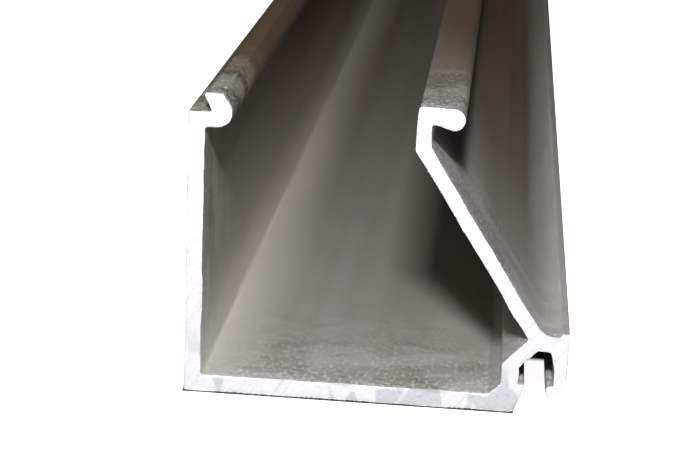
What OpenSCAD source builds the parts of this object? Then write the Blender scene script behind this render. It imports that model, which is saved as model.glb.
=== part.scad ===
// Extruded aluminium edge profile, a straight length of stock.
// The section is drawn in X and Z, with its outer left face at X = 0 and its underside at Z = 0,
// and is run along Y. All sizes are in millimetres.

/* [Stock] */

// Length of the piece, saw cut square at both ends
length = 1000; // [50:10:3000]

// Overall width, from the outer left face to the outer face of the gasket leg
width = 52.0; // [50:0.1:56]

/* [Left wall and web] */

// Thickness of the left wall
wall_t = 2.3; // [1.8:0.1:2.6]

// Thickness of the flat web that the profile stands on
web_t = 2.4; // [1.8:0.1:2.8]

// Height of the left flange's top face
flange_z = 39.1; // [37:0.1:42]

// Thickness of the left flange
flange_t = 2.2; // [1.8:0.1:2.4]

/* [Clip hook on the left flange] */

// Height of the hook's flat top above the left flange
hook_h = 2.5; // [2:0.1:3]

// Distance of the hook nose's centre from the outer left face
nose_x = 3.7; // [3.5:0.1:5]

// Radius of the hook's round nose
nose_r = 2.2; // [1.8:0.1:2.4]

// Lean of the hook's right flank from vertical, in degrees
flank_lean = 34.5; // [30:0.5:38]

// Distance of the clip groove's root from the outer left face
groove_x = 3.15; // [2.9:0.05:3.3]

// Lean of the hook's undercut left flank from vertical, in degrees
groove_lean = 20.9; // [16:0.1:24]

/* [Upright and right flange] */

// Distance of the upright's left face from the outer left face
upright_x = 30.15; // [26:0.05:32]

// Thickness of the upright
upright_t = 2.0; // [1.6:0.1:2.4]

// Height of the right flange's top face
right_z = 41.3; // [40.5:0.1:43]

// Thickness of the right flange
right_flange_t = 2.2; // [1.8:0.1:2.6]

// Distance of the bead's centre from the upright's left face
bead_out = 4.85; // [4.5:0.05:12]

// Radius of the round bead along the right flange's edge
bead_r = 1.5; // [1.3:0.05:2]

// How far the upright's left face slants in at its top
draft = 0.3; // [0:0.05:0.5]

// Height of that slant, down from the right flange's top face
draft_h = 2.7; // [2:0.1:4]

/* [Strut] */

// Height of the bend where the upright turns into the strut
bend_z = 35.44; // [33:0.01:36.5]

// Thickness of the diagonal strut
strut_t = 2.0; // [1.6:0.1:2.4]

// Height of the inner corner where the strut meets the foot
crotch_z = 10.4; // [10.2:0.1:11]

// Distance of that corner from the leg's outer face
crotch_in = 5.55; // [5.2:0.05:5.7]

// Radius of the fillet where the strut's outer face runs out into the foot
root_r = 3.2; // [2.5:0.1:3.6]

/* [Foot] */

// Distance of the foot's upright face from the leg's outer face
heel_in = 8.9; // [8.6:0.05:9.2]

// Lean of the foot's upper face from level, in degrees
heel_lean = 47; // [44:1:48]

// Width and height of the sloping corner between the web and the foot
heel_chamfer = 1.6; // [1.2:0.1:2]

// Height of the ledge at the strut's outer root
ledge_z = 10.95; // [10.6:0.05:11.2]

// Height of the rim beyond that ledge
rim_h = 0.55; // [0.4:0.05:0.8]

// Width of the rim at its top
rim_w = 0.9; // [0.8:0.05:1.1]

// Width of the rim's slanting inner face
rim_slant = 0.4; // [0.3:0.05:0.5]

/* [Gasket slot] */

// Thickness of the leg, beside the slot's mouth
leg_t = 1.85; // [1.6:0.05:2]

// Height of the leg's lower end above the profile's underside
leg_z = 2.4; // [1.8:0.1:2.6]

// How far the leg's outer face slants in at its lower end
leg_slant = 0.25; // [0.1:0.05:0.4]

// Height of that slant
leg_slant_h = 4.1; // [3:0.1:5]

// Clear width of the slot, just above its lips
slot_w = 4.7; // [4.5:0.05:4.8]

// Height of the upper faces of the slot's two lips
lip_z = 4.0; // [3.8:0.1:4.2]

// Height of the slot's ceiling
slot_z = 8.85; // [8.6:0.05:8.95]

// Width of the level part of the slot's ceiling
slot_top_w = 1.7; // [1.4:0.05:2]

// How far the slot's right wall slants in at the ceiling
slot_slant = 0.55; // [0.4:0.05:0.7]

// Height of that slant
slot_slant_h = 2.65; // [2.4:0.05:2.8]

// Clear width of the slot's mouth, between its lips
mouth_w = 2.65; // [2.3:0.05:2.9]

// How far the right lip stands in from the slot's right wall
right_lip = 1.0; // [0.9:0.05:1.1]

// Lean of the web's right end, below the slot, from vertical in degrees
end_lean = 20.3; // [18:0.1:22]

/* [Corner radii] */

// Radius of the profile's outer corners
outer_r = 0.3; // [0.15:0.05:0.4]

// Radius of the channels' inner corners
inner_r = 0.4; // [0.2:0.05:0.5]

// Radius of the hook's two upper corners
hook_r = 0.3; // [0.15:0.05:0.35]

// Radius of the clip groove's root
groove_r = 0.15; // [0.1:0.05:0.3]

// Radius of the heel, where the foot's upright face meets its sloping one
heel_r = 1.0; // [0.6:0.1:1.2]

// Radius at both ends of the sloping corner between the web and the foot
chamfer_r = 0.6; // [0.3:0.1:0.8]

// Radius of the rim's inner upper corner
rim_r = 0.2; // [0.1:0.05:0.3]

// Radius of the slot's upper corners
slot_r = 0.3; // [0.15:0.05:0.35]

// Radius of the slot's two lower corners, above its lips
barb_r = 0.1; // [0.05:0.05:0.15]

// Radius of the left lip's upper corner
left_lip_r = 0.35; // [0.2:0.05:0.5]

// Radius of the right lip's upper corner
right_lip_r = 0.6; // [0.4:0.05:0.65]

// Radius of the leg's lower inner corner
leg_inner_r = 0.75; // [0.4:0.05:0.75]

// Radius of the leg's lower outer corner
leg_outer_r = 0.6; // [0.4:0.05:0.65]

/* [Hidden] */

// Fineness of the arcs
arc_fn = 96;

// How far a round's filling or cut runs past the sharp corner
overlap = 0.1;

// How much a round's arc is let across the faces it meets, so that it crosses them cleanly
slack = 0.001;

// Clip hook
flange_under = flange_z - flange_t;
hook_z = flange_z + hook_h;
nose_under = flange_z - nose_r;
nose_tip_x = nose_x + nose_r / tan((90 - flank_lean) / 2);
hook_right_x = nose_tip_x - (hook_z - nose_under) * tan(flank_lean);
hook_left_x = groove_x - hook_h * tan(groove_lean);

// Upright, right flange and strut
right_under = right_z - right_flange_t;
upright_inner_x = upright_x + upright_t;
bead_x = upright_x + bead_out;
bead_z = right_z - bead_r;
crotch_x = width - crotch_in;
strut_lean = atan2(crotch_x - upright_x, bend_z - crotch_z);
strut_across = strut_t / cos(strut_lean);
bend_inner_z = bend_z + strut_across / tan(strut_lean) - upright_t / tan(strut_lean);
root_x = crotch_x + strut_across - (ledge_z - crotch_z) * tan(strut_lean);

// Foot and gasket slot
heel_x = width - heel_in;
heel_z = crotch_z - (crotch_x - heel_x) * tan(heel_lean);
slot_right_x = width - leg_t;
slot_left_x = slot_right_x - slot_w;
slot_top_right_x = slot_right_x - slot_slant;
slot_top_left_x = slot_top_right_x - slot_top_w;
slot_shoulder_z = slot_z - (slot_top_left_x - slot_left_x);
mouth_right_x = slot_right_x - right_lip;
mouth_left_x = mouth_right_x - mouth_w;
web_end_x = mouth_left_x - lip_z * tan(end_lean);

// The outline's corners in order round the section, anticlockwise from the lower left corner,
// each as X, Z and the radius of its round

gasket_slot = [
    [web_end_x, 0, outer_r],
    [mouth_left_x, lip_z, left_lip_r],
    [slot_left_x, lip_z, barb_r],
    [slot_left_x, slot_shoulder_z, slot_r],
    [slot_top_left_x, slot_z, slot_r],
    [slot_top_right_x, slot_z, slot_r],
    [slot_right_x, slot_z - slot_slant_h, 0],
    [slot_right_x, lip_z, barb_r],
    [mouth_right_x, lip_z, right_lip_r],
    [mouth_right_x, leg_z, leg_inner_r],
];

leg = [
    [width - leg_slant, leg_z, leg_outer_r],
    [width, leg_z + leg_slant_h, 0],
    [width, ledge_z + rim_h, outer_r],
    [width - rim_w, ledge_z + rim_h, rim_r],
    [width - rim_w - rim_slant, ledge_z, inner_r],
    [root_x, ledge_z, root_r],
];

upright = [
    [upright_inner_x, bend_inner_z, inner_r],
    [upright_inner_x, right_under, inner_r],
    [bead_x, right_under, 0],
    [bead_x + bead_r / 2, bead_z, 0],
    [bead_x, right_z, 0],
    [upright_x + draft, right_z, outer_r],
    [upright_x, right_z - draft_h, 0],
    [upright_x, bend_z, outer_r],
];

channel_floor = [
    [crotch_x, crotch_z, inner_r],
    [heel_x, heel_z, heel_r],
    [heel_x, web_t + heel_chamfer, chamfer_r],
    [heel_x - heel_chamfer, web_t, chamfer_r],
    [wall_t, web_t, inner_r],
];

clip_hook = [
    [wall_t, flange_under, inner_r],
    [nose_tip_x, nose_under, nose_r],
    [hook_right_x, hook_z, hook_r],
    [hook_left_x, hook_z, hook_r],
    [groove_x, flange_z, groove_r],
];

left_wall = [
    [0, flange_z, outer_r],
    [0, 0, outer_r],
];

outline = concat(gasket_slot, leg, upright, channel_floor, clip_hook, left_wall);

function flat(p) = [p[0], p[1]];
function unit(v) = v / norm(v);

// Positive where the outline turns left, which is at the metal's outward corners
function turn(a, b, c) = (b[0] - a[0]) * (c[1] - b[1]) - (b[1] - a[1]) * (c[0] - b[0]);

// What lies between a corner and the round of radius r that takes its place,
// run a little past the corner so that it overlaps what it is joined to or cut from
module corner_gap(a, b, c, r) {
    to_a = unit(a - b);
    to_c = unit(c - b);
    to_centre = unit(to_a + to_c);
    half = acos(to_a * to_c) / 2;
    reach = r / tan(half);
    centre = b + to_centre * r / sin(half);
    difference() {
        polygon([b - to_centre * overlap, b + to_a * reach, centre, b + to_c * reach]);
        translate(centre) circle(r + slack, $fn = arc_fn);
    }
}

// Every corner's gap, on the outward corners or on the inward ones
module corner_gaps(points, outward) {
    n = len(points);
    for (i = [0 : n - 1]) {
        a = flat(points[(i + n - 1) % n]);
        b = flat(points[i]);
        c = flat(points[(i + 1) % n]);
        if (points[i][2] > 0 && (turn(a, b, c) > 0) == outward) {
            corner_gap(a, b, c, points[i][2]);
        }
    }
}

// The outline with every corner rounded
module rounded(points) {
    difference() {
        union() {
            polygon([for (p = points) flat(p)]);
            corner_gaps(points, false);
        }
        corner_gaps(points, true);
    }
}

// The section: the rounded outline, and the round bead along the right flange's edge
module section() {
    rounded(outline);
    translate([bead_x, bead_z]) circle(bead_r, $fn = arc_fn);
}

// The whole piece: one solid, centred on its width and its length, standing on its web
module profile() {
    color([0.66, 0.65, 0.63])
        translate([-width / 2, 0, 0])
            rotate([90, 0, 0])
                linear_extrude(height = length, center = true)
                    section();
}

profile();
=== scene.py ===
"""Extruded aluminium edge profile: one straight length of mill-finish stock, saw cut at both ends."""

import math
from functools import partial

import bpy
from bpy.props import (
    FloatProperty,
    FloatVectorProperty,
    IntProperty,
    PointerProperty,
    StringProperty,
)
from mathutils import Matrix, Vector
from mathutils.geometry import delaunay_2d_cdt


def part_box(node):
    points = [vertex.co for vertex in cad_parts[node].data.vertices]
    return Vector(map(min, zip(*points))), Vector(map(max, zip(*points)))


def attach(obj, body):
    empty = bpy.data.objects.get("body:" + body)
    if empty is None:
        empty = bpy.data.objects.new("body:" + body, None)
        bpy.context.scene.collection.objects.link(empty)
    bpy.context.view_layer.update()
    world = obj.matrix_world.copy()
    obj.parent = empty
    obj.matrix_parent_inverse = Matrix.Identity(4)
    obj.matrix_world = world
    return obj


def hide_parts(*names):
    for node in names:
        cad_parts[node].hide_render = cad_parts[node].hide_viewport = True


bl_info = {
    "name": "Aluminium edge profile",
    "version": (1, 0, 0),
    "blender": (4, 5, 0),
    "location": "View3D > Sidebar > Profile",
    "description": "Builds a length of extruded edge profile with saw-cut ends",
    "category": "Add Mesh",
}

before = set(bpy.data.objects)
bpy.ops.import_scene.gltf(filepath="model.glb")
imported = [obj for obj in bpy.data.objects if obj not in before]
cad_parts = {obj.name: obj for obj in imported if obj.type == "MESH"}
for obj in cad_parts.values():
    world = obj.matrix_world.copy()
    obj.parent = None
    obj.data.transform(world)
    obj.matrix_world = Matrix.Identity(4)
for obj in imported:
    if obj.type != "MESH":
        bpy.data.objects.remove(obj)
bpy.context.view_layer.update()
NODE = "profile"
LOW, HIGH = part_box(NODE)
MM = 0.001


# ---------------------------------------------------------------- sizes and colours


class ProfileSizes(bpy.types.PropertyGroup):
    """The section's sizes, as extruded."""

    length: FloatProperty(
        name="Length",
        description="Length of the piece between its two saw cuts",
        default=HIGH[1] - LOW[1],
        unit="LENGTH",
    )
    width: FloatProperty(
        name="Width",
        description="From the outer left face to the outer face of the gasket leg",
        default=HIGH[0] - LOW[0],
        unit="LENGTH",
    )
    wall: FloatProperty(
        name="Left wall",
        description="Thickness of the left wall",
        default=2.3 * MM,
        unit="LENGTH",
        precision=5,
    )
    web: FloatProperty(
        name="Web",
        description="Thickness of the flat web",
        default=2.4 * MM,
        unit="LENGTH",
        precision=5,
    )
    strut: FloatProperty(
        name="Strut",
        description="Thickness of the diagonal strut",
        default=2.0 * MM,
        unit="LENGTH",
        precision=5,
    )
    upright: FloatProperty(
        name="Upright",
        description="Thickness of the upright above the strut",
        default=2.0 * MM,
        unit="LENGTH",
        precision=5,
    )
    bead: FloatProperty(
        name="Bead radius",
        description="Radius of the bead along the right flange's edge",
        default=1.5 * MM,
        unit="LENGTH",
        precision=5,
    )
    nose: FloatProperty(
        name="Hook nose radius",
        description="Radius of the clip hook's round nose",
        default=2.2 * MM,
        unit="LENGTH",
        precision=5,
    )


class EdgeSizes(bpy.types.PropertyGroup):
    """What the saw leaves at the two ends."""

    burr: FloatProperty(
        name="Burr",
        description="How far the longest burrs stand off the cut's edges",
        default=0.26 * MM,
        unit="LENGTH",
        precision=6,
    )
    saw_pitch: FloatProperty(
        name="Saw mark pitch",
        description="Distance between the arcs that the saw's teeth leave",
        default=0.8 * MM,
        unit="LENGTH",
        precision=5,
    )
    saw_depth: FloatProperty(
        name="Saw mark depth",
        description="Depth of the deepest saw marks",
        default=0.045 * MM,
        unit="LENGTH",
        precision=6,
    )
    stations: IntProperty(
        name="Stations",
        description="Rings of points along the length, closest together at the cuts",
        default=45,
    )
    spindle: FloatVectorProperty(
        name="Spindle",
        description="Where the saw blade's spindle passed, which the saw marks curve round",
        size=3,
        default=(0.135, 0.0, -0.085),
        subtype="TRANSLATION",
        unit="LENGTH",
    )
    seed: IntProperty(
        name="Seed", description="Seed of the burrs and the saw marks", default=7
    )


class Finish(bpy.types.PropertyGroup):
    """Colours, as sRGB hex values."""

    mill: StringProperty(name="Mill finish", description="As-extruded skin", default="#B3B2AE")
    # Also the colour of the painted shade higher up the left wall, on the tops of the flanges and on the
    # strut's outer face
    stain_and_shade: StringProperty(name="Grime", description="Brownish film from handling", default="#74624F")
    smudge: StringProperty(name="Smudge", description="Grey smudges near the cuts", default="#6C6A66")
    # Painted shadow: the black on the strut's outer face and the upright under the right flange's bead
    bead_shadow: StringProperty(
        name="Recess", description="Black residue under the right flange", default="#14110F"
    )
    # Painted light: the colour of the paler band along the inner corner
    painted_corner_light: StringProperty(name="Streak", description="Paler streak along a corner", default="#E4E0D8")
    # Also the colour of the painted light on the strut's outer face, the leg and the ledge
    chalk: StringProperty(
        name="Chalk", description="Pale oxide bloom and rubbed faces near the cuts", default="#CFCFCD"
    )
    dust: StringProperty(name="Dust", description="Saw dust and scuffs at the cuts", default="#E6E5E3")
    cut: StringProperty(name="Cut face", description="Fresh saw-cut metal", default="#C1C1C5")
    smear: StringProperty(
        name="Rubbed cut", description="Where the blade rubbed instead of cutting", default="#8F949E"
    )
    floor: StringProperty(name="Floor", description="Pale floor", default="#F4F3F1")


class ProfileSettings(bpy.types.PropertyGroup):
    """Everything that a user would change."""

    sizes: PointerProperty(type=ProfileSizes, name="Section")
    edges: PointerProperty(type=EdgeSizes, name="Cut ends")
    finish: PointerProperty(type=Finish, name="Finish")
    key: FloatVectorProperty(
        name="Key light",
        description="Where the key softbox stands, from the middle of the near cut",
        size=3,
        default=(0.0142, -0.250, 0.195),
        subtype="TRANSLATION",
        unit="LENGTH",
    )


def settings():
    """The scene's own copy of the settings."""
    return bpy.context.scene.profile_settings


# ---------------------------------------------------------------- small helpers


def linear(hex_colour):
    """An sRGB hex colour as linear RGBA."""
    parts = [int(hex_colour[i : i + 2], 16) / 255 for i in (1, 3, 5)]
    return tuple(
        c / 12.92 if c <= 0.04045 else ((c + 0.055) / 1.055) ** 2.4 for c in parts
    ) + (1.0,)


def node(tree, kind, links=None, **set_to):
    """Adds a node, sets its properties, then fills its inputs from values, sockets or other nodes' first
    outputs."""
    made = tree.nodes.new(kind)
    for name, value in set_to.items():
        setattr(made, name, value)
    for socket, source in (links or {}).items():
        if isinstance(source, bpy.types.Node):
            source = source.outputs[0]
        if isinstance(source, bpy.types.NodeSocket):
            tree.links.new(source, made.inputs[socket])
        else:
            made.inputs[socket].default_value = source
    return made


# ---------------------------------------------------------------- the section


def section_corners(s):
    """The outline's corners anticlockwise, each as x, z and the radius of its round, in millimetres."""
    width, wall, web = s.width / MM, s.wall / MM, s.web / MM
    up, strut, bead, nose = s.upright / MM, s.strut / MM, s.bead / MM, s.nose / MM
    outer, inner = 0.3, 0.4

    # Clip hook on the left flange
    flange, under, hook, nose_x, groove = 39.1, 36.9, 41.6, 3.7, 3.15
    flank_lean, groove_lean = math.radians(34.5), math.radians(20.9)
    nose_under = flange - nose
    nose_tip = nose_x + nose / math.tan((math.pi / 2 - flank_lean) / 2)
    hook_right = nose_tip - (hook - nose_under) * math.tan(flank_lean)
    hook_left = groove - (hook - flange) * math.tan(groove_lean)

    # Upright, right flange and strut
    upright, top, right_under, bend, crotch = 30.15, 41.3, 39.1, 35.44, 10.4
    bead_out, crotch_in, draft, draft_height = 4.85, 5.55, 0.3, 2.7
    bead_x, bead_z = upright + bead_out, top - bead
    crotch_x = width - crotch_in
    slope = (crotch_x - upright) / (bend - crotch)
    across = strut * math.hypot(1, slope)
    ledge, root_round = 10.95, 3.2
    root = crotch_x + across - (ledge - crotch) * slope

    # Foot and gasket slot
    heel_in, heel_lean, chamfer = 8.9, math.radians(47), 1.6
    heel = width - heel_in
    heel_z = crotch - (crotch_x - heel) * math.tan(heel_lean)
    leg_wall, leg, leg_slant, leg_slant_height = 1.85, 2.4, 0.25, 4.1
    rim_height, rim, rim_slant = 0.55, 0.9, 0.4
    slot, slot_top, slot_slant, slot_slant_height = 4.7, 1.7, 0.55, 2.65
    lip, right_lip, mouth, ceiling, end_lean = 4.0, 1.0, 2.65, 8.85, math.radians(20.3)
    slot_right = width - leg_wall
    slot_left = slot_right - slot
    ceiling_right = slot_right - slot_slant
    ceiling_left = ceiling_right - slot_top
    mouth_right = slot_right - right_lip
    mouth_left = mouth_right - mouth

    # The bead's round, from its underside, which slopes up to the upright's corner, to the flange's top
    steps = 34
    drop = bead_z - right_under
    first = -math.pi / 2 - math.atan2(drop, math.sqrt(bead**2 - drop**2))
    angles = [first + (math.pi / 2 - first) * k / steps for k in range(steps + 1)]
    round_bead = [(bead_x + bead * math.cos(a), bead_z + bead * math.sin(a), 0) for a in angles]

    return [
        (mouth_left - lip * math.tan(end_lean), 0, outer),
        (mouth_left, lip, 0.35),
        (slot_left, lip, 0.1),
        (slot_left, ceiling - (ceiling_left - slot_left), 0.3),
        (ceiling_left, ceiling, 0.3),
        (ceiling_right, ceiling, 0.3),
        (slot_right, ceiling - slot_slant_height, 0),
        (slot_right, lip, 0.1),
        (mouth_right, lip, 0.6),
        (mouth_right, leg, 0.75),
        (width - leg_slant, leg, 0.6),
        (width, leg + leg_slant_height, 0),
        (width, ledge + rim_height, outer),
        (width - rim, ledge + rim_height, 0.2),
        (width - rim - rim_slant, ledge, inner),
        (root, ledge, root_round),
        (upright + up, bend + (across - up) / slope, inner),
        (upright + up, right_under, inner),
        *round_bead,
        (upright + draft, top, outer),
        (upright, top - draft_height, 0),
        (upright, bend, outer),
        (crotch_x, crotch, inner),
        (heel, heel_z, 1.0),
        (heel, web + chamfer, 0.6),
        (heel - chamfer, web, 0.6),
        (wall, web, inner),
        (wall, under, inner),
        (nose_tip, nose_under, nose),
        (hook_right, hook, 0.3),
        (hook_left, hook, 0.3),
        (groove, flange, 0.15),
        (0, flange, outer),
        (0, 0, outer),
    ]


def rounded_outline(corners, step):
    """The corners as one fine closed line: an arc at each round, and points no further apart than step."""
    widest_turn = math.radians(9)
    line = []
    count = len(corners)
    for i, (x, z, radius) in enumerate(corners):
        here = Vector((x, z))
        if radius == 0:
            line.append(here)
            continue
        back = (Vector(corners[i - 1][:2]) - here).normalized()
        ahead = (Vector(corners[(i + 1) % count][:2]) - here).normalized()
        half = back.angle(ahead) / 2
        centre = here + (back + ahead).normalized() * radius / math.sin(half)
        start = here + back * radius / math.tan(half) - centre
        sweep = start.angle_signed(here + ahead * radius / math.tan(half) - centre)
        turns = max(3, math.ceil(abs(sweep) / widest_turn))
        for k in range(turns + 1):
            line.append(centre + Matrix.Rotation(-sweep * k / turns, 2) @ start)
    fine = []
    for i, here in enumerate(line):
        there = line[(i + 1) % len(line)]
        pieces = max(1, math.ceil((there - here).length / step))
        fine += [here.lerp(there, k / pieces) for k in range(pieces)]
    too_close = 1e-4
    return [p for i, p in enumerate(fine) if (p - fine[i - 1]).length > too_close]


def outward(line):
    """The direction out of the metal at each point of the outline."""
    count = len(line)
    out = []
    for i in range(count):
        along = (line[(i + 1) % count] - line[i - 1]).normalized()
        out.append(Vector((along.y, -along.x)))
    return out


def inside(point, line):
    """Whether a point lies in the metal."""
    hit = False
    for i, b in enumerate(line):
        a = line[i - 1]
        if (a.y > point.y) != (b.y > point.y):
            if point.x < (b.x - a.x) * (point.y - a.y) / (b.y - a.y) + a.x:
                hit = not hit
    return hit


def outline_strip(s):
    """The outline as a line of points, its last point on its first, with what the node tree reads from
    each."""
    longest_step = 0.7
    line = rounded_outline(section_corners(s), longest_step)
    out = outward(line)
    line, out = line + line[:1], out + out[:1]
    run = [0.0]
    for a, b in zip(line, line[1:]):
        run.append(run[-1] + (b - a).length)
    half = s.width / MM / 2
    mesh = bpy.data.meshes.new("section_line")
    mesh.from_pydata(
        [((p.x - half) * MM, 0, p.y * MM) for p in line],
        [(i, i + 1) for i in range(len(line) - 1)],
        [],
    )
    mesh.attributes.new("outward", "FLOAT_VECTOR", "POINT").data.foreach_set(
        "vector", [c for v in out for c in (v.x, 0, v.y)]
    )
    mesh.attributes.new("run", "FLOAT", "POINT").data.foreach_set("value", run)
    return mesh, line[:-1], out[:-1]


def run_at(strip, x, z):
    """How far round the outline, in millimetres, its point nearest to x and z lies."""
    points = strip.vertices
    nearest = min(range(len(points)), key=lambda i: math.hypot(points[i].co.x - x, points[i].co.z - z))
    return strip.attributes["run"].data[nearest].value


def cut_face(s, line, out):
    """The section filled with small triangles, to carry the saw marks. Points stand in rows of equal-sided
    triangles, none of them close to the outline, and no metal is deeper than 3 mm from it."""
    pitch = 0.42
    row_pitch = 0.866 * pitch
    closest, deepest = 0.45 * pitch, 3.0
    xs = [p.x for p in line]
    zs = [p.y for p in line]
    points = list(line)
    rows = int((max(zs) - min(zs)) / row_pitch) + 1
    columns = int((max(xs) - min(xs)) / pitch) + 2
    for row in range(rows):
        for column in range(columns):
            p = Vector((min(xs) + (column + 0.5 * (row % 2)) * pitch, min(zs) + row * row_pitch))
            depth = min((p - q).length for q in line)
            if closest < depth < deepest and inside(p, line):
                points.append(p)
    edges = [(i, (i + 1) % len(line)) for i in range(len(line))]
    # Only the triangles within the outline are kept
    inside_only, tolerance = 1, 1e-6
    verts, _, faces, _, _, _ = delaunay_2d_cdt(points, edges, [], inside_only, tolerance)
    half = s.width / MM / 2
    mesh = bpy.data.meshes.new("section_face")
    mesh.from_pydata([((p.x - half) * MM, 0, p.y * MM) for p in verts], [], faces)
    # Points on the outline also know the way out of the metal
    directions = {(round(p.x, 4), round(p.y, 4)): v for p, v in zip(line, out)}
    values = []
    for p in verts:
        v = directions.get((round(p.x, 4), round(p.y, 4)), Vector((0, 0)))
        values += (v.x, 0, v.y)
    mesh.attributes.new("outward", "FLOAT_VECTOR", "POINT").data.foreach_set("vector", values)
    return mesh


# ---------------------------------------------------------------- the node tree


def profile_tree():
    """Sweeps the section along the length, closes both ends, and leaves what the saw leaves."""
    tree = bpy.data.node_groups.new("Swept profile", "GeometryNodeTree")
    add = partial(node, tree)
    socket = tree.interface.new_socket
    socket("Geometry", in_out="INPUT", socket_type="NodeSocketGeometry")
    socket("Cut face", in_out="INPUT", socket_type="NodeSocketObject")
    for name in ("Length", "Burr", "Saw pitch", "Saw depth"):
        socket(name, in_out="INPUT", socket_type="NodeSocketFloat")
    for name in ("Outline points", "Stations", "Seed"):
        socket(name, in_out="INPUT", socket_type="NodeSocketInt")
    for name in ("Low corner", "High corner", "Spindle"):
        socket(name, in_out="INPUT", socket_type="NodeSocketVector")
    for name in ("Mill finish", "Saw cut"):
        socket(name, in_out="INPUT", socket_type="NodeSocketMaterial")
    socket("Geometry", in_out="OUTPUT", socket_type="NodeSocketGeometry")
    given = add("NodeGroupInput").outputs
    position = add("GeometryNodeInputPosition")
    parts = add("ShaderNodeSeparateXYZ", {0: position}).outputs

    # A sheet of points, one column for each point of the outline and one row for each station
    sheet = add(
        "GeometryNodeMeshGrid",
        {
            "Size X": 1.0,
            "Size Y": 1.0,
            "Vertices X": given["Outline points"],
            "Vertices Y": given["Stations"],
        },
    )
    last = add("ShaderNodeMath", {0: given["Outline points"], 1: 1.0}, operation="SUBTRACT")
    column = add("ShaderNodeMapRange", {0: parts[0], 1: -0.5, 2: 0.5, 3: 0.0, 4: last})
    column = add("ShaderNodeMath", {0: column}, operation="ROUND")
    outline = {}
    for name, kind in (("position", "FLOAT_VECTOR"), ("outward", "FLOAT_VECTOR"), ("run", "FLOAT")):
        value = position
        if name != "position":
            value = add("GeometryNodeInputNamedAttribute", {"Name": name}, data_type=kind)
        outline[name] = add(
            "GeometryNodeSampleIndex",
            {0: given["Geometry"], 1: value, 2: column},
            data_type=kind,
            domain="POINT",
        )

    # Stations crowd towards both cuts: on each half of the length they stand at 1 - (1 - t)^4
    t = add("ShaderNodeMath", {0: parts[1], 1: 2.0}, operation="MULTIPLY")
    inward = add("ShaderNodeMath", {0: t}, operation="ABSOLUTE")
    inward = add("ShaderNodeMath", {0: 1.0, 1: inward}, operation="SUBTRACT")
    inward = add("ShaderNodeMath", {0: inward, 1: 4.0}, operation="POWER")
    crowded = add("ShaderNodeMath", {0: 1.0, 1: inward}, operation="SUBTRACT")
    side = add("ShaderNodeMath", {0: t}, operation="SIGN")
    # The cuts stand back from the ends by three quarters of the burr's size, which leaves room for the burrs
    reach = add("ShaderNodeMath", {0: given["Length"], 1: 0.5}, operation="MULTIPLY")
    reach = add("ShaderNodeMath", {0: given["Burr"], 1: -0.75, 2: reach}, operation="MULTIPLY_ADD")
    along = add("ShaderNodeMath", {0: side, 1: crowded}, operation="MULTIPLY")
    along = add("ShaderNodeMath", {0: along, 1: reach}, operation="MULTIPLY")
    along_mm = add("ShaderNodeMath", {0: along, 1: 1000.0}, operation="MULTIPLY")
    on_walls = add("ShaderNodeCombineXYZ", {0: outline["run"], 1: along_mm})
    spot = add("ShaderNodeSeparateXYZ", {0: outline["position"]}).outputs
    spot = add("ShaderNodeCombineXYZ", {0: spot[0], 1: along, 2: spot[2]})
    walls = sheet
    for name, value, kind, domain in (
        ("outward", outline["outward"], "FLOAT_VECTOR", "POINT"),
        ("Skin", on_walls, "FLOAT2", "CORNER"),
    ):
        walls = add(
            "GeometryNodeStoreNamedAttribute",
            {"Geometry": walls, "Name": name, "Value": value},
            data_type=kind,
            domain=domain,
        )
    walls = add("GeometryNodeSetPosition", {"Geometry": walls, "Position": spot})

    # The filled section at both cuts, with its own flat map in millimetres
    across_mm = add("ShaderNodeMath", {0: parts[0], 1: 1000.0}, operation="MULTIPLY")
    up_mm = add("ShaderNodeMath", {0: parts[2], 1: 1000.0}, operation="MULTIPLY")
    on_cut = add("ShaderNodeCombineXYZ", {0: across_mm, 1: up_mm})
    filled = add("GeometryNodeObjectInfo", {"Object": given["Cut face"]}).outputs["Geometry"]
    for name, value, kind, domain in (
        ("Skin", on_cut, "FLOAT2", "CORNER"),
        ("sawn", 1.0, "FLOAT", "FACE"),
    ):
        filled = add(
            "GeometryNodeStoreNamedAttribute",
            {"Geometry": filled, "Name": name, "Value": value},
            data_type=kind,
            domain=domain,
        )
    back = add("ShaderNodeMath", {0: reach, 1: -1.0}, operation="MULTIPLY")
    to_near = add("ShaderNodeCombineXYZ", {1: back})
    to_far = add("ShaderNodeCombineXYZ", {1: reach})
    near_end = add("GeometryNodeTransform", {"Geometry": filled, "Translation": to_near})
    far_end = add("GeometryNodeTransform", {"Geometry": filled, "Translation": to_far})
    far_end = add("GeometryNodeFlipFaces", {"Mesh": far_end})
    joined = add("GeometryNodeJoinGeometry")
    for piece in (near_end, far_end, walls):
        tree.links.new(piece.outputs[0], joined.inputs[0])
    body = add("GeometryNodeMergeByDistance", {"Geometry": joined, "Distance": 1e-7})

    # How near a point is to a cut: 1 on it, and close to 0 from half a millimetre in
    from_cut = add("ShaderNodeMath", {0: parts[1]}, operation="ABSOLUTE")
    from_cut = add("ShaderNodeMath", {0: reach, 1: from_cut}, operation="SUBTRACT")
    near = add("ShaderNodeMath", {0: from_cut, 1: -7000.0}, operation="MULTIPLY")
    near = add("ShaderNodeMath", {0: near}, operation="EXPONENT")
    at_cut = add("ShaderNodeMath", {0: from_cut, 1: 0.00001}, operation="LESS_THAN")

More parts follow.
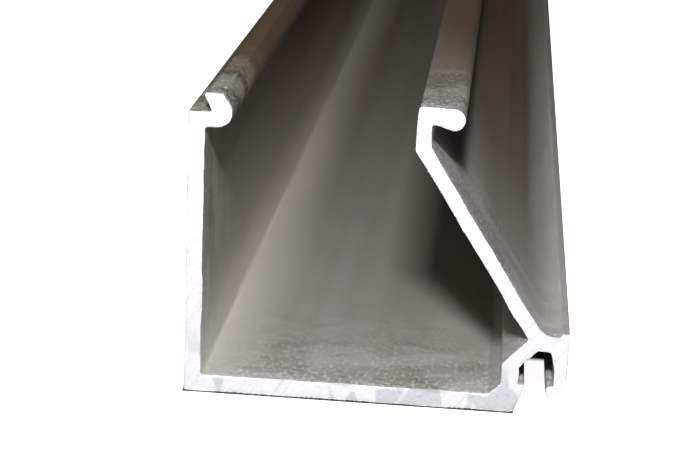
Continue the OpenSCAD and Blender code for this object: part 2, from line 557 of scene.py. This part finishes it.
    # Burrs stand out from the edge in patches, and between them the edge is a little broken
    shift = add("ShaderNodeMath", {0: given["Seed"], 1: 1.7}, operation="MULTIPLY")
    shift = add("ShaderNodeCombineXYZ", {1: shift})
    seeded = add("ShaderNodeVectorMath", {0: position, 1: shift}, operation="ADD")
    ragged = add("ShaderNodeTexNoise", {"Vector": seeded, "Scale": 1100.0, "Detail": 3.0})
    patches = add("ShaderNodeTexNoise", {"Vector": seeded, "Scale": 190.0, "Detail": 1.0})
    patches = add("ShaderNodeMapRange", {0: patches, 1: 0.47, 2: 0.80, 3: 0.0, 4: 2.0})
    wear_and_painted_light = add("ShaderNodeMath", {0: patches, 1: ragged, 2: -0.35}, operation="MULTIPLY_ADD")
    wear_and_painted_light = add("ShaderNodeMath", {0: wear_and_painted_light, 1: given["Burr"]}, operation="MULTIPLY")
    outward = add("GeometryNodeInputNamedAttribute", {"Name": "outward"}, data_type="FLOAT_VECTOR")
    spread = add("ShaderNodeMath", {0: wear_and_painted_light, 1: near}, operation="MULTIPLY")
    spread = add("ShaderNodeVectorMath", {0: outward, "Scale": spread}, operation="SCALE")
    on_edge = add("ShaderNodeVectorMath", {0: outward}, operation="LENGTH").outputs["Value"]
    lift = add("ShaderNodeMath", {0: wear_and_painted_light, 1: on_edge}, operation="MULTIPLY")

    # The teeth travel on arcs round the blade's spindle
    away = add("ShaderNodeVectorMath", {0: position, 1: given["Spindle"]}, operation="SUBTRACT")
    away = add("ShaderNodeVectorMath", {0: away, 1: (1, 0, 1)}, operation="MULTIPLY")
    away = add("ShaderNodeVectorMath", {0: away}, operation="LENGTH").outputs["Value"]
    away = add("ShaderNodeMath", {0: away, 1: given["Saw pitch"]}, operation="DIVIDE")
    teeth = add("ShaderNodeTexNoise", {"W": away, "Scale": 1.0, "Detail": 2.0}, noise_dimensions="1D")
    chatter = add("ShaderNodeTexNoise", {"Vector": seeded, "Scale": 260.0, "Detail": 2.0})
    sunk = add("ShaderNodeMath", {0: teeth, 1: chatter}, operation="MULTIPLY")
    sunk = add("ShaderNodeMath", {0: sunk, 1: given["Saw depth"]}, operation="MULTIPLY")
    # The product of the two noises is doubled, which brings the deepest marks to about the set depth
    proud = add("ShaderNodeMath", {0: sunk, 1: -2.0, 2: lift}, operation="MULTIPLY_ADD")
    proud = add("ShaderNodeMath", {0: proud, 1: at_cut}, operation="MULTIPLY")
    facing = add("ShaderNodeMath", {0: parts[1]}, operation="SIGN")
    proud = add("ShaderNodeMath", {0: proud, 1: facing}, operation="MULTIPLY")
    proud = add("ShaderNodeCombineXYZ", {1: proud})
    moved = add("ShaderNodeVectorMath", {0: spread, 1: proud}, operation="ADD")
    body = add("GeometryNodeSetPosition", {"Geometry": body, "Offset": moved})
    # Nothing stands out past the piece's own box
    kept = add("ShaderNodeVectorMath", {0: position, 1: given["High corner"]}, operation="MINIMUM")
    kept = add("ShaderNodeVectorMath", {0: kept, 1: given["Low corner"]}, operation="MAXIMUM")
    body = add("GeometryNodeSetPosition", {"Geometry": body, "Position": kept})

    # Faces are smooth across the rounds and sharp where two flats meet
    angle = add("GeometryNodeInputMeshEdgeAngle")
    steep = add("ShaderNodeMath", {0: angle, 1: math.radians(28)}, operation="GREATER_THAN")
    body = add("GeometryNodeSetShadeSmooth", {"Geometry": body, "Shade Smooth": True}, domain="FACE")
    body = add(
        "GeometryNodeSetShadeSmooth",
        {"Geometry": body, "Selection": steep, "Shade Smooth": False},
        domain="EDGE",
    )
    body = add("GeometryNodeRealizeInstances", {"Geometry": body})
    body = add("GeometryNodeSetMaterial", {"Geometry": body, "Material": given["Mill finish"]})
    sawn = add("GeometryNodeInputNamedAttribute", {"Name": "sawn"}, data_type="FLOAT")
    sawn = add("ShaderNodeMath", {0: sawn, 1: 0.5}, operation="GREATER_THAN")
    body = add(
        "GeometryNodeSetMaterial",
        {"Geometry": body, "Selection": sawn, "Material": given["Saw cut"]},
    )
    add("NodeGroupOutput", {0: body})
    return tree


# ---------------------------------------------------------------- materials


def material(name):
    """A new material with an empty node tree."""
    made = bpy.data.materials.new(name)
    made.use_nodes = True
    made.node_tree.nodes.clear()
    return made, made.node_tree


def mill_finish(f, runs):
    """Aluminium as it leaves the extrusion die, years in a store: a dull satin grey whose oxide film scatters
    much of the light, warm with a brownish film, and with saw dust and scuffs close to the cuts. Light and
    shade are also painted into its colour: a paler band along the inner corner, paler faces towards a cut and
    by the ledge, painted shade higher up the left wall and on the tops of the flanges and the strut's outer
    face, and a black painted shadow under the right flange's bead. runs says how far round the outline the
    section's landmarks lie."""
    made, tree = material("mill_finish_aluminium")
    add = partial(node, tree)

    # The map runs in millimetres: first round the section, then along the length.
    # Die lines are some 0.05 mm wide on the real skin; the ones drawn are 0.3 mm and 3 mm wide, to show.
    skin = add("ShaderNodeUVMap", uv_map="Skin")
    amounts = {}
    for name, scale, place, detail, low, high, low_amount, high_amount in (
        ("fine lines", (3.4, 0.006), (0.0, 0.0), 2.0, 0.3, 0.7, 0.0, 0.02),
        ("broad lines", (0.30, 0.002), (31.0, 31.0), 1.0, 0.3, 0.75, 0.0, 0.08),
        ("film", (0.05, 0.0025), (77.0, 77.0), 2.0, 0.35, 0.68, 0.0, 0.30),
        ("smudges", (0.16, 0.20), (11.1, 13.0), 3.0, 0.48, 0.64, 0.0, 0.40),
        ("handled", (0.12, 0.006), (13.0, 13.0), 2.0, 0.3, 0.7, 0.285, 0.345),
        ("speckle", (1.8, 0.9), (5.0, 5.0), 3.0, 0.50, 0.74, 0.0, 1.0),
        ("scuffs", (0.5, 1.6), (55.0, 55.0), 3.0, 0.54, 0.68, 0.0, 0.55),
        ("chalk", (0.08, 0.13), (91.0, 91.0), 3.0, 0.48, 0.60, 0.0, 0.55),
    ):
        stretched = add(
            "ShaderNodeMapping",
            {"Vector": skin, "Scale": (*scale, 1.0), "Location": (*place, 0.0)},
        )
        pattern = add(
            "ShaderNodeTexNoise",
            {"Vector": stretched, "Scale": 1.0, "Detail": detail},
            noise_dimensions="2D",
        )
        amounts[name] = add(
            "ShaderNodeMapRange",
            {0: pattern, 1: low, 2: high, 3: low_amount, 4: high_amount},
        )

    # Where on the piece: height, distance from the middle of the length, and run from each landmark
    spot = add("ShaderNodeSeparateXYZ", {0: add("ShaderNodeTexCoord").outputs["Object"]}).outputs
    from_middle = add("ShaderNodeMath", {0: spot[1]}, operation="ABSOLUTE")
    run = add("ShaderNodeSeparateXYZ", {0: skin})
    up_the_wall, past_the_leg, past_the_bend, to_the_bead = (
        add("ShaderNodeMath", {0: run, 1: runs[name]}, operation="SUBTRACT")
        for name in ("corner", "leg", "bend", "bead")
    )
    end = HIGH[1]
    zones = {}
    for name, value, low, high, low_amount, high_amount in (
        ("close to a cut", from_middle, end - 0.035, end - 0.002, 0.0, 1.0),
        ("at a cut", from_middle, end - 0.007, end, 0.0, 1.0),
        ("far from a cut", from_middle, end - 0.012, end - 0.22, 0.0, 0.45),
        # Painted shade: the left wall darker higher up, under the hook
        ("up the left wall", up_the_wall, 4.0, 32.0, 0.0, 0.52),
        ("web side of the corner", up_the_wall, -9.0, -1.5, 0.0, 0.54),
        ("wall side of the corner", up_the_wall, 0.0, 12.0, 1.0, 0.0),
        ("past the leg", past_the_leg, -1.0, 3.0, 0.0, 1.0),
        ("before the bend", past_the_bend, -1.0, -9.0, 0.0, 1.0),
        ("above the strut", past_the_bend, -8.0, -6.0, 0.0, 1.0),
        ("before the bead", to_the_bead, 0.0, -1.0, 0.0, 0.8),
        ("behind a cut", from_middle, end - 0.007, end - 0.018, 0.0, 1.0),
        ("by the ledge", past_the_leg, 17.0, 13.0, 0.0, 0.35),
        ("above the ledge", past_the_leg, 13.0, 17.0, 0.0, 0.6),
        ("on top", spot[2], HIGH[2] - 0.0036, HIGH[2] - 0.0028, 0.0, 1.0),
        ("in from a cut", from_middle, end - 0.002, end - 0.060, 0.26, 0.58),
        ("towards a cut", from_middle, end - 0.065, end - 0.004, 0.0, 0.34),
    ):
        zones[name] = add(
            "ShaderNodeMapRange", {0: value, 1: low, 2: high, 3: low_amount, 4: high_amount}
        )

    # Painted light: a paler band along the inner corner, on the web beside it and up the left wall, standing
    # in for the light that the web and the left wall reflect onto each other
    painted_corner_light = add(
        "ShaderNodeMath",
        {0: zones["web side of the corner"], 1: zones["wall side of the corner"]},
        operation="MULTIPLY",
    )
    # Painted light: the outer face of the strut, the leg and the ledge are paler towards a cut and near the
    # ledge, and the recess above them is black, a painted shadow under the bead
    rubbed = add(
        "ShaderNodeMath", {0: zones["past the leg"], 1: zones["before the bend"]}, operation="MULTIPLY"
    )
    wear_and_painted_light = add(
        "ShaderNodeMath", {0: zones["towards a cut"], 1: zones["by the ledge"]}, operation="MAXIMUM"
    )
    rubbed = add("ShaderNodeMath", {0: rubbed, 1: wear_and_painted_light}, operation="MULTIPLY")
    # Painted shadow under the bead, full from some 18 mm in from a cut and fading out towards the cut
    painted_bead_shadow = add(
        "ShaderNodeMath", {0: zones["above the strut"], 1: zones["before the bead"]}, operation="MULTIPLY"
    )
    painted_bead_shadow = add("ShaderNodeMath", {0: painted_bead_shadow, 1: zones["behind a cut"]}, operation="MULTIPLY")
    # Painted shade: the tops of the flanges and the outer face of the strut are browned darker, less so close
    # to a cut, where the key light is strongest
    strut_face = add(
        "ShaderNodeMath", {0: zones["above the ledge"], 1: zones["before the bend"]}, operation="MULTIPLY"
    )
    painted_top_and_strut_shade = add("ShaderNodeMath", {0: zones["on top"], 1: strut_face}, operation="MAXIMUM")
    painted_top_and_strut_shade = add("ShaderNodeMath", {0: painted_top_and_strut_shade, 1: zones["in from a cut"]}, operation="MULTIPLY")
    smudged = add(
        "ShaderNodeMath",
        {0: amounts["smudges"], 1: zones["close to a cut"]},
        operation="MULTIPLY",
    )
    # A brown film and die lines, browner further from a cut, together with painted shade higher up the left
    # wall and on the flange tops and the strut's outer face
    grime_and_shade = amounts["film"]
    for more in (
        zones["far from a cut"],
        zones["up the left wall"],
        amounts["broad lines"],
        amounts["fine lines"],
        painted_top_and_strut_shade,
    ):
        grime_and_shade = add("ShaderNodeMath", {0: grime_and_shade, 1: more}, operation="ADD", use_clamp=True)
    chalky = add(
        "ShaderNodeMath", {0: amounts["chalk"], 1: zones["close to a cut"]}, operation="MULTIPLY"
    )
    scuffed = add("ShaderNodeMath", {0: amounts["scuffs"], 1: zones["at a cut"]}, operation="MULTIPLY")
    # Saw dust: a light dusting within 35 mm of a cut, thicker in the last 7 mm
    dusting = add(
        "ShaderNodeMath",
        {0: zones["at a cut"], 1: 0.6, 2: zones["close to a cut"]},
        operation="MULTIPLY_ADD",
    )
    dusty = add("ShaderNodeMath", {0: amounts["speckle"], 1: dusting}, operation="MULTIPLY")
    dusty = add("ShaderNodeMath", {0: dusty, 1: 0.42}, operation="MULTIPLY")

    colour = linear(f.mill)
    # Painted light and shade are mixed in with the finish's own marks: painted shade with the grime, the
    # painted light along the corner and on the strut's face and ledge, and the painted shadow under the bead
    for amount, tone in (
        (grime_and_shade, f.stain_and_shade),
        (smudged, f.smudge),
        (painted_corner_light, f.painted_corner_light),
        (rubbed, f.chalk),
        (chalky, f.chalk),
        (dusty, f.dust),
        (scuffed, f.dust),
        (painted_bead_shadow, f.bead_shadow),
    ):
        mixed = add("ShaderNodeMix", {0: amount, 6: colour, 7: linear(tone)}, data_type="RGBA")
        colour = mixed.outputs[2]
    marked = add("ShaderNodeMath", {0: dusty, 1: scuffed}, operation="MAXIMUM")
    rough = add(
        "ShaderNodeMath",
        {0: marked, 1: 0.35, 2: amounts["handled"]},
        operation="MULTIPLY_ADD",
    )
    height = add(
        "ShaderNodeMath",
        {0: amounts["broad lines"], 1: 2.0, 2: amounts["fine lines"]},
        operation="MULTIPLY_ADD",
    )
    bump = add("ShaderNodeBump", {"Strength": 0.3, "Distance": 0.00006, "Height": height})
    shader = add(
        "ShaderNodeBsdfPrincipled",
        {"Base Color": colour, "Roughness": rough, "Metallic": 0.55, "Normal": bump},
    )
    add("ShaderNodeOutputMaterial", {"Surface": shader})
    return made


def saw_cut(f, spindle):
    """Freshly sawn aluminium: bright torn metal that scatters light almost like white paper, with faint arcs
    from the teeth and a few greyer places where the blade rubbed instead of cutting."""
    made, tree = material("saw_cut_aluminium")
    add = partial(node, tree)
    skin = add("ShaderNodeUVMap", uv_map="Skin")
    centre = (spindle[0] / MM, spindle[2] / MM, 0.0)
    away = add("ShaderNodeVectorMath", {0: skin, 1: centre}, operation="DISTANCE").outputs["Value"]
    # Teeth leave marks 0.1 to 0.5 mm apart, and the blade's rests leave patches with straight slanting edges
    arcs = add(
        "ShaderNodeTexNoise",
        {"W": away, "Scale": 1.9, "Detail": 4.0, "Roughness": 0.6},
        noise_dimensions="1D",
    )
    slanted = add(
        "ShaderNodeMapping",
        {
            "Vector": skin,
            "Rotation": (0.0, 0.0, math.radians(-30)),
            "Scale": (0.18, 0.09, 1.0),
            "Location": (3.0, 0.0, 0.0),
        },
    )
    places = add(
        "ShaderNodeTexNoise",
        {"Vector": slanted, "Scale": 1.0, "Detail": 2.0},
        noise_dimensions="2D",
    )
    torn = add(
        "ShaderNodeTexNoise",
        {"Vector": skin, "Scale": 2.6, "Detail": 3.0},
        noise_dimensions="2D",
    )
    rubbed = add("ShaderNodeMapRange", {0: places, 1: 0.54, 2: 0.58, 3: 0.0, 4: 0.45})
    # The rubbed patches are mostly low down, on the web
    up = add("ShaderNodeSeparateXYZ", {0: skin}).outputs[1]
    low_down = add("ShaderNodeMapRange", {0: up, 1: 9.0, 2: 4.0, 3: 0.2, 4: 1.0})
    rubbed = add("ShaderNodeMath", {0: rubbed, 1: low_down}, operation="MULTIPLY")
    streaks = add("ShaderNodeMapRange", {0: arcs, 1: 0.56, 2: 0.80, 3: 0.0, 4: 0.35})
    pits = add("ShaderNodeMapRange", {0: torn, 1: 0.55, 2: 0.75, 3: 0.0, 4: 0.3})
    amount = add("ShaderNodeMath", {0: streaks, 1: rubbed}, operation="MAXIMUM")
    amount = add("ShaderNodeMath", {0: amount, 1: pits}, operation="ADD", use_clamp=True)
    colour = add(
        "ShaderNodeMix", {0: amount, 6: linear(f.cut), 7: linear(f.smear)}, data_type="RGBA"
    ).outputs[2]
    rough = add("ShaderNodeMapRange", {0: amount, 1: 0.0, 2: 1.0, 3: 0.62, 4: 0.42})
    height = add("ShaderNodeMath", {0: arcs, 1: torn}, operation="ADD")
    bump = add("ShaderNodeBump", {"Strength": 0.5, "Distance": 0.00004, "Height": height})
    shader = add(
        "ShaderNodeBsdfPrincipled",
        {"Base Color": colour, "Roughness": rough, "Metallic": 0.45, "Normal": bump},
    )
    add("ShaderNodeOutputMaterial", {"Surface": shader})
    return made


def pale_floor(f):
    """Backlit opal acrylic, as on a product photographer's light table: pale and even. It is masked in black
    as painted shadow: where the web rests, reaching a quarter of a millimetre past each cut as a thin contact
    shadow line, and deep under the gasket slot, as the shadow seen through the slot's mouth."""
    made, tree = material("backlit_opal_acrylic")
    add = partial(node, tree)
    spot = add("ShaderNodeSeparateXYZ", {0: add("ShaderNodeTexCoord").outputs["Object"]}).outputs
    outside_painted_shadow = 1.0
    web_end = HIGH[0] - 7.0 * MM
    leg = HIGH[0] - 0.6 * MM
    # Each painted shadow's sides, how far in from both cuts it stops, and how soft its edge is
    for left, right, inset, soft in (
        (LOW[0], web_end, -0.25 * MM, 0.35 * MM),
        (web_end, leg, 22.6 * MM, 1.5 * MM),
    ):
        sideways = add("ShaderNodeMath", {0: spot[0], 1: (left + right) / 2}, operation="SUBTRACT")
        sideways = add("ShaderNodeMath", {0: sideways}, operation="ABSOLUTE")
        sideways = add("ShaderNodeMath", {0: sideways, 1: (right - left) / 2}, operation="SUBTRACT")
        lengthways = add("ShaderNodeMath", {0: spot[1]}, operation="ABSOLUTE")
        lengthways = add("ShaderNodeMath", {0: lengthways, 1: HIGH[1] - inset}, operation="SUBTRACT")
        beyond = add("ShaderNodeMath", {0: sideways, 1: lengthways}, operation="MAXIMUM")
        beyond = add("ShaderNodeMapRange", {0: beyond, 1: 0.0, 2: soft, 3: 0.0, 4: 1.0})
        outside_painted_shadow = add("ShaderNodeMath", {0: beyond, 1: outside_painted_shadow}, operation="MULTIPLY")
    # Inside the painted shadows the floor is near black and gives no light
    black, glow = linear("#0A0A0A"), 1.05
    shade = add("ShaderNodeMix", {0: outside_painted_shadow, 6: black, 7: linear(f.floor)}, data_type="RGBA")
    lit = add("ShaderNodeMath", {0: outside_painted_shadow, 1: glow}, operation="MULTIPLY")
    shader = add(
        "ShaderNodeBsdfPrincipled",
        {
            "Base Color": shade.outputs[2],
            "Roughness": 0.85,
            "Emission Color": linear(f.floor),
            "Emission Strength": lit,
        },
    )
    add("ShaderNodeOutputMaterial", {"Surface": shader})
    return made


def black_card():
    """Black flocked card, which throws hardly any light back."""
    made, tree = material("black_flocked_card")
    shader = node(tree, "ShaderNodeBsdfPrincipled", {"Base Color": linear("#161616"), "Roughness": 1.0})
    node(tree, "ShaderNodeOutputMaterial", {"Surface": shader})
    return made


# ---------------------------------------------------------------- operators


class PROFILE_OT_body(bpy.types.Operator):
    """Build the swept profile with its two saw-cut ends"""

    bl_idname = "profile.body"
    bl_label = "Profile"

    def execute(self, context):
        s, e, f = settings().sizes, settings().edges, settings().finish
        strip, line, out = outline_strip(s)
        points = len(strip.vertices)
        # Places on the section, from its lower left corner, that the finish is laid out from
        landmarks = {
            "corner": (s.wall, s.web),
            "leg": (s.width, 2.4 * MM),
            "bend": (32.3 * MM, 35.4 * MM),
            "bead": (35.0 * MM, 38.3 * MM),
        }
        runs = {name: run_at(strip, x - s.width / 2, z) for name, (x, z) in landmarks.items()}
        filled = bpy.data.objects.new("section_face", cut_face(s, line, out))
        source = bpy.data.objects.new("section_line", strip)
        context.scene.collection.objects.link(source)
        context.scene.collection.objects.link(filled)
        tree = profile_tree()
        modifier = source.modifiers.new("Swept profile", "NODES")
        modifier.node_group = tree
        wanted = {
            "Cut face": filled,
            "Length": s.length,
            "Burr": e.burr,
            "Saw pitch": e.saw_pitch,
            "Saw depth": e.saw_depth,
            "Outline points": points,
            "Stations": e.stations,
            "Seed": e.seed,
            "Low corner": tuple(LOW),
            "High corner": tuple(HIGH),
            "Spindle": tuple(e.spindle),
            "Mill finish": mill_finish(f, runs),
            "Saw cut": saw_cut(f, e.spindle),
        }
        for item in tree.interface.items_tree:
            if item.in_out == "INPUT" and item.name in wanted:
                modifier[item.identifier] = wanted[item.name]
        context.view_layer.update()
        graph = context.evaluated_depsgraph_get()
        mesh = bpy.data.meshes.new_from_object(source.evaluated_get(graph))
        fewest_faces = 1000
        if len(mesh.polygons) < fewest_faces:
            raise RuntimeError("the swept profile came out empty")
        mesh.name = "profile_body"
        body = bpy.data.objects.new("profile_body", mesh)
        context.scene.collection.objects.link(body)
        for spare in (source, filled):
            bpy.data.objects.remove(spare)
        for name in ("outward", "run", "sawn"):
            if name in mesh.attributes:
                mesh.attributes.remove(mesh.attributes[name])
        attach(body, "root")
        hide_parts(NODE)
        return {"FINISHED"}


class PROFILE_OT_stage(bpy.types.Operator):
    """Lay the floor, hang the light and set up the camera"""

    bl_idname = "profile.stage"
    bl_label = "Stage"

    def execute(self, context):
        scene = context.scene
        near_cut = Vector((0, LOW[1], 0))

        # Floor, and just under it a black card in the piece's footprint, which keeps light out from below
        def sheet(name, half_width, half_length, height, finish):
            mesh = bpy.data.meshes.new(name)
            corners = ((-1, -1), (1, -1), (1, 1), (-1, 1))
            mesh.from_pydata(
                [(x * half_width, y * half_length, height) for x, y in corners], [], [(0, 1, 2, 3)]
            )
            mesh.materials.append(finish)
            made = bpy.data.objects.new(name, mesh)
            scene.collection.objects.link(made)
            return made

        margin = 3.0 * MM
        sheet("card", HIGH[0] + margin, HIGH[1], -1.0 * MM, black_card())
        floor = sheet("floor", 6.0, 6.0, 0.0, pale_floor(settings().finish))
        # Reflections look past the floor at the studio, which is dark behind the piece, as in a deep room
        floor.visible_glossy = False
        floor.visible_diffuse = False
        floor.visible_shadow = False

        # Camera: a 101 mm lens 0.25 m in front of the near cut, 96 mm up, looking down 16 degrees
        camera = bpy.data.cameras.new("camera")
        camera.sensor_width = 36.0
        camera.lens = 101.2
        camera.clip_start = 0.01
        eye = bpy.data.objects.new("camera", camera)
        right = Vector((0.9955, 0.0858, 0.0403)).normalized()
        ahead = right.cross(Vector((0.0625, -0.2740, -0.9597))).normalized()
        turn = Matrix((right, right.cross(ahead), -ahead)).transposed().to_4x4()
        eye.matrix_world = Matrix.Translation(near_cut + Vector((0.0146, -0.2498, 0.0963))) @ turn
        scene.collection.objects.link(eye)
        scene.camera = eye

        # One small softbox over the camera
        place = near_cut + Vector(settings().key)
        aim = near_cut + Vector((0, 0.03, 0.02))
        lamp = bpy.data.lights.new("key_softbox", "AREA")
        lamp.shape = "RECTANGLE"
        lamp.size, lamp.size_y = 0.035, 0.022
        lamp.energy = 2.4
        key = bpy.data.objects.new("key_softbox", lamp)
        key.location = place
        key.rotation_euler = (aim - place).to_track_quat("-Z", "Y").to_euler()
        scene.collection.objects.link(key)

        world = bpy.data.worlds.new("studio")
        world.use_nodes = True
        tree = world.node_tree
        tree.nodes.clear()
        add = partial(node, tree)
        way = add("ShaderNodeSeparateXYZ", {0: add("ShaderNodeTexCoord").outputs["Generated"]}).outputs
        # The studio is dark behind the piece and pale in front of it, beside it, below it and overhead
        leftward = add("ShaderNodeMath", {0: way[0], 1: -1.0}, operation="MULTIPLY")
        low_down = add(
            "ShaderNodeMapRange",
            {0: way[2], 1: 0.12, 2: -0.06, 3: 0.0, 4: 1.0},
            interpolation_type="SMOOTHSTEP",
        )
        level = 0.01
        # In front, below, low on the left, low on the right and overhead
        for value, low, high, amount, where in (
            (way[1], 0.3, -0.8, 0.30, 1.0),
            (way[2], -0.2, -0.5, 0.8, 1.0),
            (leftward, 0.42, 0.75, 1.0, low_down),
            (way[0], 0.48, 0.80, 0.45, low_down),
            (way[2], 0.62, 0.92, 0.30, 1.0),
        ):
            pale = add(
                "ShaderNodeMapRange",
                {0: value, 1: low, 2: high, 3: 0.0, 4: amount},
                interpolation_type="SMOOTHSTEP",
            )
            pale = add("ShaderNodeMath", {0: pale, 1: where}, operation="MULTIPLY")
            level = add("ShaderNodeMath", {0: level, 1: pale}, operation="MAXIMUM")
        light = add("ShaderNodeBackground", {"Color": linear("#F2F0EC"), "Strength": level})
        add("ShaderNodeOutputWorld", {"Surface": light})
        scene.world = world
        scene.view_settings.view_transform = "Standard"
        # Keeps light that the walls throw at each other as sharp as their finish makes it
        scene.cycles.blur_glossy = 0.0
        scene.cycles.sample_clamp_indirect = 0.0
        return {"FINISHED"}


class PROFILE_PT_panel(bpy.types.Panel):
    """Lists the profile's settings and its operators"""

    bl_idname = "PROFILE_PT_panel"
    bl_label = "Aluminium edge profile"
    bl_space_type = "VIEW_3D"
    bl_region_type = "UI"
    bl_category = "Profile"

    def draw(self, context):
        chosen = context.scene.profile_settings
        for group in (chosen.sizes, chosen.edges, chosen.finish):
            box = self.layout.box()
            for name in group.__annotations__:
                box.prop(group, name)
        self.layout.prop(chosen, "key")
        self.layout.operator("profile.body")
        self.layout.operator("profile.stage")


CLASSES = (
    ProfileSizes,
    EdgeSizes,
    Finish,
    ProfileSettings,
    PROFILE_OT_body,
    PROFILE_OT_stage,
    PROFILE_PT_panel,
)


def register():
    for cls in CLASSES:
        bpy.utils.register_class(cls)
    bpy.types.Scene.profile_settings = PointerProperty(type=ProfileSettings)


def unregister():
    del bpy.types.Scene.profile_settings
    for cls in reversed(CLASSES):
        bpy.utils.unregister_class(cls)


def main():
    register()
    bpy.ops.profile.stage()
    bpy.ops.profile.body()


if __name__ == "__main__":
    main()
